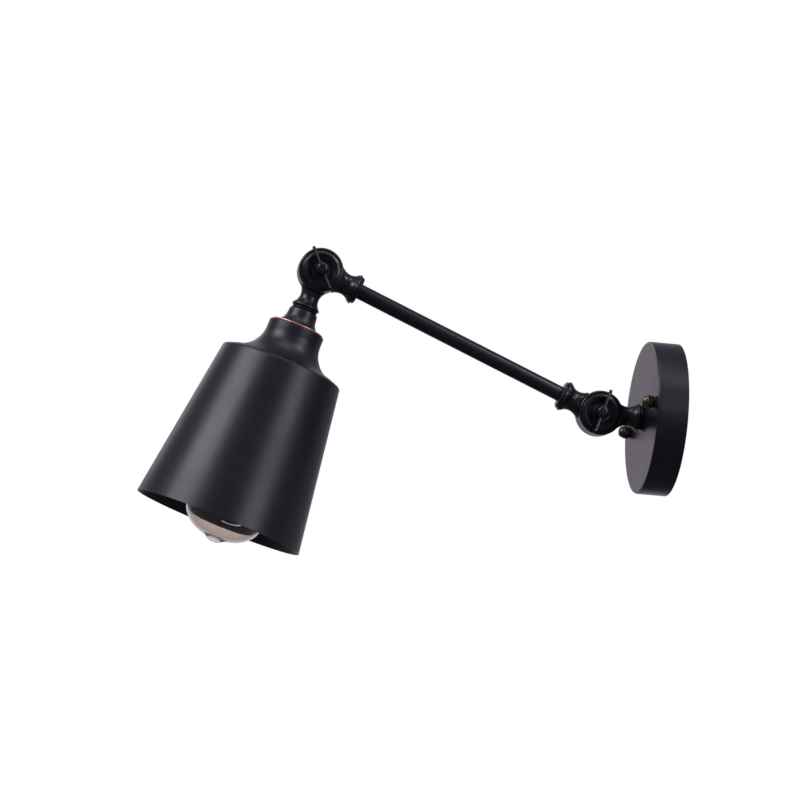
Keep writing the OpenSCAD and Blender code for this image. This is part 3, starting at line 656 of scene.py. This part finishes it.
def makeCap():
    look = capShape
    start, end, _ = reach("flared_cap", headLine)
    top, foot, hole, hollow = (look[k] for k in ("topRadius", "footRadius", "holeRadius", "hollowRadius"))
    waist, waistAt, rounding = look["waistRadius"], start + look["waistAt"], look["topRounding"]
    rise = foot - waist
    drop = end - look["footEdge"] - start - look["waistAt"]
    bell = (drop * drop + rise * rise) / (2 * rise)
    flare = arc((waist + bell, waistAt), bell, 180, 180 - math.degrees(math.asin(drop / bell)), steps=20)
    edge, ceiling = look["edgeRounding"], end - look["hollowDepth"]
    points = (
        [(hole, start)]
        + arc((top - rounding, start + rounding), rounding, -90, 0, steps=6)
        + flare[:-1]
        + softened([flare[-2], flare[-1], (foot, end, edge), (hollow, end, edge),
                    (hollow, ceiling, look["hollowRounding"]), (hole, ceiling), (hole, start)])[1:]
    )
    mesh = turned(points, headLine, "satinBlackPaint", look)
    addPiece("flaredCapTurned", mesh, "head", ["flared_cap"])


# Copper ring, a flat disc whose rounded edge shows
ringShape = {"shownRounding": 0.44, "backRounding": 0.2, "segments": 160}


def makeTrimRing():
    start, end, edge = reach("trim_ring", headLine)
    hole = capShape["holeRadius"]
    points = softened([(hole, start), (edge, start, ringShape["shownRounding"]),
                       (edge, end, ringShape["backRounding"]), (hole, end), (hole, start)], steps=6)
    mesh = turned(points, headLine, "rubbedCopper", ringShape)
    addPiece("trimRingTurned", mesh, "head", ["trim_ring"])


makeShade()
makeCap()
makeTrimRing()
print("shade, cap and ring turned")


# Thumb nuts: a plain foot, a knurled grip and a ball end
thumbNutShape = {
    "dome": 2.8,
    "domeTurn": (3, 90),
    "foot": 0.9,
    "footInset": 0.9,
    "footRounding": (0.15, 0.1),
    "bevel": 0.6,
    "gripBack": 0.9,                            # plain length between the grip and the ball end
    "shoulder": [(0.35, 0.45), (0.7, 0.1)],     # in from the grip, back from its end
    "boreRadius": 2.05,
    "boreEnd": 1.6,
    "step": 0.16,
    "knurl": (0.34, 22, 0.3),                   # depth, count and slant
    "segments": 264,
}


def makeThumbNut(side, line):
    look = thumbNutShape
    nodeName = "thumb_nut_" + side
    start, end, grip = reach(nodeName, line)
    gripEnd, dome, foot, bore = end - look["dome"], look["dome"], start + look["foot"], look["boreRadius"]
    inset, (lower, upper) = look["footInset"], look["footRounding"]
    points = (
        softened([(bore, start), (grip - inset, start, lower), (grip - inset, foot, upper),
                  (grip - look["bevel"], foot)])
        + run((grip, foot + look["bevel"]), (grip, gripEnd - look["gripBack"]), look["step"], "knurl")
        + [(grip - inwards, gripEnd - back) for inwards, back in look["shoulder"]]
        + arc((grip - look["shoulder"][-1][0] - dome, gripEnd), dome, *look["domeTurn"], steps=14)
        + [(0, end), (0, gripEnd + look["boreEnd"]), (bore, gripEnd + look["boreEnd"]), (bore, start)]
    )
    mesh = turned(points, line, "agedBrass" + side.capitalize(), look)
    addPiece("thumbNutKnurled_" + side, mesh, side + "_thumb_nut", [nodeName])


for side, line in nutLines.items():
    makeThumbNut(side, line)
print("thumb nuts knurled")


# Threads, with their depth and pitch, the number of points to a pitch, and their plain ends
threads = {
    "stud": {
        "radius": 2.0, "thread": (0.38, 0.7), "perPitch": 6, "segments": 28, "foot": 0.3, "chamfer": 0.5},
    "nipple": {
        "radius": 4.9, "thread": (0.5, 1.0), "perPitch": 6, "segments": 48, "bore": 3.5,
        "chamfer": 0.5, "chamferLength": 0.4},
    "wingScrew": {
        "radius": 2.9, "thread": (0.45, 1.0), "perPitch": 8, "segments": 40,
        "chamfer": 0.6, "end": 6, "fade": 0.3, "overlap": 0.1},
    "lampBase": {
        "radius": 12.9, "thread": (0.6, 3.63), "perPitch": 12, "wall": 0.4, "collar": 4, "fade": 0.3,
        "plain": (1.6, 1.8), "outerEdge": [(2, 0), (0.6, 0.5)],
        "innerEdge": [(0.9, 0.9), (2.2, 0.4), (2, 0)]},
    "lampShell": {
        "radius": 13.15, "thread": (0.22, 3.63), "perPitch": 12, "wall": 0.5, "lip": 2.4,
        "chamfer": 0.3, "plain": 1.5},
}


def threadRun(look, start, end):
    return run(start, end, look["thread"][1] / look["perPitch"], "thread")


def makeStuds():
    look = threads["stud"]
    end = reach("canopy_studs", wallLine)[1]
    r, foot, chamfer = look["radius"], look["foot"], look["chamfer"]
    points = [(0, 0), (r - foot, 0)] + threadRun(look, (r, foot), (r, end - chamfer))
    points += [(r - chamfer, end), (0, end)]
    meshes = []
    for point, direction in nutLines.values():
        line = (Vector((point.x, 0, point.z)), direction)
        meshes.append(turned(points, line, "zincPlate", look))
    addPiece("canopyStudsThreaded", joined(meshes), "wall_mount", ["canopy_studs"])


def makeNipple(nodeName, line, body):
    look = threads["nipple"]
    start, end, _ = reach(nodeName, line)
    r, bore, chamfer, length = (look[k] for k in ("radius", "bore", "chamfer", "chamferLength"))
    points = [(bore, start), (r - chamfer, start)]
    points += threadRun(look, (r, start + length), (r, end - length))
    points += [(r - chamfer, end), (bore, end), (bore, start)]
    mesh = turned(points, line, "zincPlate", look)
    addPiece(nodeName + "_threaded", mesh, body, [nodeName])


def makeLampBase():
    # the bulb's screw base, rolled from thin sheet, with a plain collar at its end
    look = threads["lampBase"]
    start, end, _ = reach("bulb_base", headLine)
    r, wall, collar = look["radius"], look["wall"], end - look["collar"]
    outer, inner = look["plain"]
    fadeEnd = collar + look["fade"]
    points = (
        [(r - inwards, start + up) for inwards, up in look["outerEdge"]]
        + threadRun(look, (r, start + outer), (r, collar))
        + [(r, fadeEnd), (r, end), (r - wall, end), (r - wall, fadeEnd)]
        + threadRun(look, (r - wall, collar), (r - wall, start + inner))
        + [(r - inwards, start + up) for inwards, up in look["innerEdge"]]
    )
    mesh = turned(points, headLine, "brightBrass", look)
    addPiece("bulbBaseRolled", mesh, "bulb", ["bulb_base"])


def makeLampShell():
    # the socket's screw shell, with a floor that carries it
    look = threads["lampShell"]
    start, end, _ = reach("socket_shell", headLine)
    r, wall, lip, chamfer, plain = (look[k] for k in ("radius", "wall", "lip", "chamfer", "plain"))
    points = (
        [(r - lip, start), (r + wall - chamfer, start), (r + wall, start + chamfer)]
        + threadRun(look, (r + wall, start + plain), (r + wall, end - plain))
        + [(r + wall, end), (r, end)]
        + threadRun(look, (r, end - plain), (r, start + plain))
        + [(r, start + wall), (r - lip, start + wall), (r - lip, start)]
    )
    mesh = turned(points, headLine, "brightBrass", look)
    addPiece("socketShellRolled", mesh, "head", ["socket_shell"])


makeStuds()
makeNipple("wall_nipple", wallLine, "wall_mount")
makeNipple("head_nipple", headLine, "head")
makeLampBase()
makeLampShell()
print("threads cut")


# Wing screws: the cast hub and wings keep the solid's form with its edges worn round, on a threaded shank
wingLook = {
    "hubStart": 8.35,
    "hubRadius": 5,
    "tipStart": 13,                # out from the pivot
    "voxel": 0.2,
    "smoothing": 22,
    "smoothFactor": 0.5,
    "sharpAbove": 60,
    "sharpness": (0.025, 0.075),   # how far a point stands out where the rubbed-metal highlight starts and where it is full
    "wearSpread": 6,
    "facing": 0.3,                 # least X of the normal of a side that gets the rubbed-metal highlight, so only sides turned to +X, towards the camera, get it
    "line": (0.52, 0.18),          # from a wing's middle: where the rubbed, highlighted line ends and where it is full
    "wornAndLitTo": (15.8, 14.6),        # the same from the pivot: past the disc's rim the paint is whole, with no painted highlight
}


def markRubbedAndLitEdges(mesh, look):
    # bare metal as on rubbed edges, which is also a painted highlight: round the hub's end, and along the
    # middle of a wing's narrow side that faces +X
    work = bmesh.new()
    work.from_mesh(mesh)
    standing = []
    for v in work.verts:
        rises = [v.normal.dot((v.co - e.other_vert(v).co).normalized()) for e in v.link_edges]
        standing.append(sum(rises) / max(1, len(rises)))
    for _ in range(look["wearSpread"]):
        standing = [(standing[v.index] + sum(standing[e.other_vert(v).index] for e in v.link_edges))
                    / (1 + len(v.link_edges)) for v in work.verts]
    work.free()

    def ramp(value, name):
        none, full = look[name]
        return min(1, max(0, (value - none) / (full - none)))

    # how much of a point is painted as bare metal, which is rubbed paint and a painted highlight at once
    def wearAndHighlight(v, stands):
        if abs(v.co.z) < look["hubRadius"] * mm:
            return ramp(stands, "sharpness")
        if v.normal.x <= look["facing"]:
            return 0
        return ramp(abs(v.co.y) / mm, "line") * ramp(v.co.yz.length / mm, "wornAndLitTo")

    worn = [wearAndHighlight(v, stands) for v, stands in zip(mesh.vertices, standing)]
    mesh.attributes.new("edgeWearAndHighlight", "FLOAT", "POINT").data.foreach_set("value", worn)


def makeWingScrew(side, pivot):
    look, cut = wingLook, threads["wingScrew"]
    nodeName = side + "_wing_screw"
    line = (pivot, Vector((1, 0, 0)))
    work = bmesh.new()
    work.from_mesh(nodes[nodeName].data)
    bmesh.ops.remove_doubles(work, verts=work.verts, dist=weld)
    plane = pivot + Vector((look["hubStart"] * mm, 0, 0))
    bmesh.ops.bisect_plane(work, geom=work.verts[:] + work.edges[:] + work.faces[:], plane_co=plane,
                           plane_no=(1, 0, 0), clear_inner=True, dist=weld / 10)
    bmesh.ops.holes_fill(work, edges=[e for e in work.edges if e.is_boundary])
    # the wings are stood upright on the pivot, so that the voxels run along them
    offsets = [v.co - pivot for v in work.verts if v.co.z > pivot.z]
    tip = sum((o for o in offsets if o.yz.length > look["tipStart"] * mm), Vector())
    upright = Matrix.Rotation(math.atan2(tip.y, tip.z), 4, "X") @ Matrix.Translation(-pivot)
    rough = bpy.data.meshes.new("wings")
    work.to_mesh(rough)
    work.free()
    rough.transform(upright)
    source = addObject("wings", rough)
    remesh = source.modifiers.new("cast", "REMESH")
    remesh.mode = "VOXEL"
    remesh.voxel_size = look["voxel"] * mm
    worn = source.modifiers.new("worn", "SMOOTH")
    worn.factor = look["smoothFactor"]
    worn.iterations = look["smoothing"]
    wings = evaluated(source)
    closeShell(wings, look["sharpAbove"])
    wings.materials.clear()
    wings.materials.append(materials["wingBlackPaint"])
    markRubbedAndLitEdges(wings, look)
    wings.transform(upright.inverted())
    start = reach(nodeName, line)[0]
    r, chamfer, threadEnd = cut["radius"], cut["chamfer"], -cut["end"]
    shankEnd = look["hubStart"] + cut["overlap"]
    points = [(0, start), (r - chamfer, start)] + threadRun(cut, (r, start + chamfer), (r, threadEnd))
    points += [(r, threadEnd + cut["fade"]), (r, shankEnd), (0, shankEnd)]
    shank = turned(points, line, "wingBlackPaint", cut)
    addPiece(side + "WingScrewCast", joined([wings, shank]), side + "_wing", [nodeName])


makeWingScrew("base", basePivot)
makeWingScrew("head", headPivot)
print("wing screws cast")


# Bulb: blown glass with a drawn tip, and a glass stem that carries the filament's cage
bulbShape = {
    "radius": 32,
    "neckRadius": 12.6,
    "neckLength": 11,
    "neckRounding": 9,
    "glass": 0.9,
    "fullness": 2.4,      # 2 makes the end of the globe a half ball, more makes it fuller
    "pipLength": 2.8,
    "pipFoot": 8.5,       # where the glass starts to rise to the tip
    "pipFootRounding": 1.2,
    "pipRadius": 3.6,     # where the tip is round
    "pipRounding": 2.4,
    "pipCrown": 0.1,
    "lean": 1.7,          # how far the middle of the globe stands off the line of the socket
    "pipDrift": -0.8,     # how much further the tip was drawn to the same side
    "driftPower": 8,
    "segments": 144,
}
# Stem: radius, height above its start and rounding of each corner, up to the rod
stemShape = {
    "foot": (1, 0.3, 0.6),     # height of the foot, and the rounding of its two edges
    "corners": [(6.5, 4, 3), (5, 15, 3), (2.4, 21, 1)],
    "rod": (1.8, 22, 0.5),
    "rodEnd": (1, 0.8),
    "segments": 64,
}


def globeCentre():
    return reach("bulb_glass", headLine)[1] - bulbShape["pipLength"] - bulbShape["radius"]


def makeBulbGlass():
    look = bulbShape
    start, tip, _ = reach("bulb_glass", headLine)
    centre, neck = globeCentre(), start + look["neckLength"]
    slant = math.hypot(centre - neck, look["neckRadius"])
    taper = math.asin(look["radius"] / slant) - math.atan(look["neckRadius"] / (centre - neck))

    def side(inset):
        # the neck, the taper, and a globe whose far half is a little fuller than a ball
        r, neckRadius, power = look["radius"] - inset, look["neckRadius"] - inset, 2 / look["fullness"]
        globe = arc((0, centre), r, -math.degrees(taper), 0, steps=12)
        points = softened([(neckRadius, start), (neckRadius, neck, look["neckRounding"]), globe[0]], steps=8)
        points += globe[1:]
        for across, along in arc((0, 0), 1, 0, 90, steps=30)[1:-1]:
            points.append((r * across ** power, centre + r * along ** power))
        return points

    tipRadius, depth, foot = look["pipRadius"], look["pipLength"], look["pipFoot"]
    outer = [p for p in side(0) if p[0] > foot or p[1] < centre]
    pip = softened([outer[-1], (foot - look["pipFootRounding"], tip - depth, look["pipFootRounding"]),
                    (tipRadius, tip - look["pipCrown"], look["pipRounding"]), (0, tip)], steps=8)
    points = outer + pip[1:] + [(0, tip - depth - look["glass"])] + side(look["glass"])[::-1]
    points.append(points[0])
    mesh = turned(points, headLine, "amberGlass", look)
    # a bulb leans a little in its socket, and its tip was drawn off by hand
    origin, direction = headLine
    sideways = Vector((1, 0, 0)).cross(direction)
    for v in mesh.vertices:
        along = (v.co - origin).dot(direction) / mm
        shift = look["lean"] * max(0, along - start) / (centre - start)
        if along > centre:
            shift += look["pipDrift"] * ((along - centre) / (tip - centre)) ** look["driftPower"]
        v.co += sideways * shift * mm
    addPiece("bulbBlown", mesh, "bulb", ["bulb_glass"])


def makeStem():
    look = stemShape
    start, end, flare = reach("bulb_mount", headLine)
    footHeight, edge, shoulder = look["foot"]
    rod, rodStart, rodRounding = look["rod"]
    back, crown = look["rodEnd"]
    points = [(0, start), (flare, start, edge), (flare, start + footHeight, shoulder)]
    points += [(radius, start + up, rounding) for radius, up, rounding in look["corners"]]
    points += [(rod, start + rodStart, rodRounding), (rod, end - back, crown), (0, end)]
    mesh = turned(softened(points, steps=6), headLine, "clearGlass", look)
    addPiece("bulbStemDrawn", mesh, "bulb", ["bulb_mount"])


# Filament cage: hairpins of wire over hooked supports that stand out from two hubs on the rod
cageShape = {
    "hairpins": 9,
    "topAfterBase": 22,
    "lowAfterGlobe": 4,
    "topRadius": 8,
    "lowRadius": 12.5,
    "bend": 1.1,
    "hookGap": 0.7,
    "hubRadius": 3,
    "hubBore": 1.82,
    "hubLength": 1.6,
    "hubRounding": (0.2, 0.5),
    "segments": 40,
    "wireInHub": 0.5,
    "supportWire": 0.3,
    "supportSides": 8,
    "filamentWire": 0.2,
    "levelShare": 0.6,     # of a support's way out to the filament
    "hook": 0.9,
    "hookTurn": [(0, 0), (0.5, 0.1), (0.8, 0.4), (0.8, 1)],     # out past the bend, share of the hook
    "leadTurn": [(-0.4, 0), (0, 0.4), (0, 1.4)],                # out past the filament's end, and up
}


def makeCage():
    look = cageShape
    pins, bend, hubWire = look["hairpins"], look["bend"], look["hubRadius"] - look["wireInHub"]
    top = reach("bulb_base", headLine)[1] + look["topAfterBase"]
    low = globeCentre() + look["lowAfterGlobe"]
    half = math.pi / pins
    bends = [(k + 0.5) * half for k in range(2 * pins - 1)]     # a low one, a top one and so on

    def radiusAt(z):
        return look["topRadius"] + (look["lowRadius"] - look["topRadius"]) * (z - top) / (low - top)

    def placed(turn, z):
        return (radiusAt(z) * math.cos(turn), radiusAt(z) * math.sin(turn), z)

    def spoke(turn, z, tail):
        # out from a hub at one height, then along the tail: how far out past the filament, and how far up
        r = radiusAt(z)
        route = [(hubWire, 0), (r * look["levelShare"], 0)] + [(r + out, up) for out, up in tail]
        return [(out * math.cos(turn), out * math.sin(turn), z + up) for out, up in route]

    route = [placed(0, top + 2 * look["hookGap"])]
    for k, turn in enumerate(bends):
        edge, sign = (low - bend, 1) if k % 2 == 0 else (top + bend, -1)
        for across, along in arc((0, 0), 1, 0, 180):
            z = edge + sign * bend * along
            route.append(placed(turn - bend / radiusAt(z) * across, z))
    route.append(placed(2 * math.pi - half, top + 2 * look["hookGap"]))
    filament = wired([route], headLine, look["filamentWire"], "filamentWire")
    addPiece("filamentWound", filament, "bulb", ["filament"])

    topHub, lowHub = top + look["hookGap"], low - look["hookGap"]
    lowHook, topHook = ([(out, sign * look["hook"] * share) for out, share in look["hookTurn"]]
                        for sign in (1, -1))
    wires = [spoke(turn, lowHub, lowHook) for turn in bends[::2]]
    wires += [spoke(turn, topHub, topHook) for turn in bends[1::2]]
    wires += [spoke(turn, topHub, look["leadTurn"]) for turn in (0, 2 * math.pi - half)]
    meshes = [wired(wires, headLine, look["supportWire"], "zincPlate", look["supportSides"])]
    bore, r, h = look["hubBore"], look["hubRadius"], look["hubLength"] / 2
    inner, outer = look["hubRounding"]
    for z in (topHub, lowHub):
        ring = softened([(bore, z), (bore, z - h, inner), (r, z - h, outer), (r, z + h, outer),
                         (bore, z + h, inner), (bore, z)])
        meshes.append(turned(ring, headLine, "zincPlate", look))
    addPiece("filamentCageHooked", joined(meshes), "bulb", ["filament_supports"])


makeBulbGlass()
makeStem()
makeCage()
print("bulb blown and wired")


# Floor, which only the camera sees
floorLook = {
    "height": -1.4,
    "size": 80,
    "colour": (0.9, 0.9, 0.9),
    "glow": 1.2,
    "roughness": 0.9,
    "shine": 0.1,
}


def makeFloor():
    mesh = bpy.data.meshes.new("floor")
    h, z = floorLook["size"] / 2, floorLook["height"]
    mesh.from_pydata([(-h, -h, z), (h, -h, z), (h, h, z), (-h, h, z)], [], [(0, 1, 2, 3)])
    floor = addObject("floor", mesh)
    material, tree, inputs = openMaterial("paleFloor")
    colour = floorLook["colour"]
    feedAll(tree, inputs, Base_Color=colour, Emission_Color=colour, Emission_Strength=floorLook["glow"],
            Roughness=floorLook["roughness"], Specular_IOR_Level=floorLook["shine"])
    mesh.materials.append(material)
    floor.visible_glossy = False
    floor.visible_diffuse = False
    floor.visible_transmission = False


# Each light: direction from the lamp (azimuth, elevation), distance, width, height, power
boxLights = {
    "leftSoftbox": (26, 39, 1.3, 0.8, 0.5, 7.7),
    "rightSoftbox": (131, 14, 1.5, 0.7, 0.42, 3.9),
    "highSoftbox": (143, 42, 1.3, 0.4, 0.4, 3.6),
    "topSoftbox": (95, 72, 1.2, 0.6, 0.5, 1.9),
    "backSoftbox": (292, 28, 1.5, 0.9, 0.8, 1.4),
    "lowStrip": (104, -66, 0.6, 0.5, 0.035, 0.3),
}
lightTint = (0.97, 0.95, 1.08)
aim = Vector((0, -0.2, 0))
onlyOn = {"lowStrip": "bulbBlown"}     # a thin strip for one glint on the glass, that lights nothing else


def makeSoftboxes():
    for name, (azimuth, elevation, distance, width, height, power) in boxLights.items():
        outward = directionTo(azimuth, elevation)
        data = bpy.data.lights.new(name, "AREA")
        data.shape = "RECTANGLE"
        data.size = width
        data.size_y = height
        data.energy = power
        data.color = lightTint
        light = addObject(name, data)
        target = aim
        if name in onlyOn:
            lit = bpy.data.collections.new(name + "Lights")
            lit.objects.link(bpy.data.objects[onlyOn[name]])
            light.light_linking.receiver_collection = lit
            target = headPivot + headLine[1] * globeCentre() * mm
        turn = outward.to_track_quat("Z", "Y").to_matrix().to_4x4()
        light.matrix_world = Matrix.Translation(target + outward * distance) @ turn
        light.visible_camera = False


# Room light: white behind the lamp for the camera, a softer grey room for reflections
roomLook = {
    "camera": 1.0,
    "backdrop": 0.57,
    "behind": 0.23,
    "front": 0.10,
    "above": 0.2,
    "below": 0.09,
    "belowThroughGlass": 0.38,
    "tint": (0.96, 0.94, 1.12),
    "backdropTint": (1.02, 0.9, 1.04),
}
# Where one part of the room gives way to the next, as a share of a direction's X or Z
roomEdges = {
    "behindToFront": ("X", -0.5, 0.5),
    "sidesToAbove": ("Z", 0.3, 0.95),
    "belowToSides": ("Z", -0.45, 0.0),
    "backdropToRoom": ("X", -0.98, -0.75),
    "glassBehind": ("X", -0.85, -0.5),
    "glassBelow": ("Z", -0.4, -0.1),
}


def makeRoom():
    look = roomLook
    world = bpy.data.worlds.new("studio")
    bpy.context.scene.world = world
    world.use_nodes = True
    tree = world.node_tree
    tree.nodes.clear()
    direction = tree.nodes.new("ShaderNodeTexCoord").outputs["Generated"]
    parts = addNode(tree, "ShaderNodeSeparateXYZ", Vector=direction).outputs

    def across(edge, before, after):
        part, low, high = roomEdges[edge]
        return smoothRange(tree, Value=parts[part], From_Min=low, From_Max=high, To_Min=before, To_Max=after)

    level = across("behindToFront", look["behind"], look["front"])
    upper = across("sidesToAbove", level, look["above"])
    grey = across("backdropToRoom", look["backdrop"], across("belowToSides", look["below"], upper))
    tint = blendColours(tree, across("backdropToRoom", 0, 1), look["backdropTint"], look["tint"])
    path = tree.nodes.new("ShaderNodeLightPath").outputs
    under = across("glassBelow", look["belowThroughGlass"], 0)
    white = doMath(tree, "MAXIMUM", across("glassBehind", 1, 0), under)
    through = doMath(tree, "MULTIPLY", path["Is Transmission Ray"], white)
    seen = doMath(tree, "MAXIMUM", path["Is Camera Ray"], through)
    strength = addNode(tree, "ShaderNodeMix", data_type="FLOAT", Factor=seen, A=grey, B=look["camera"])
    background = addNode(tree, "ShaderNodeBackground", Color=blendColours(tree, seen, tint, (1, 1, 1)),
                         Strength=socketNamed(strength.outputs, "Result"))
    addNode(tree, "ShaderNodeOutputWorld", Surface=background.outputs[0])


makeFloor()
makeSoftboxes()
makeRoom()
bpy.context.scene.view_settings.view_transform = "Standard"
print("studio set")

print("done")
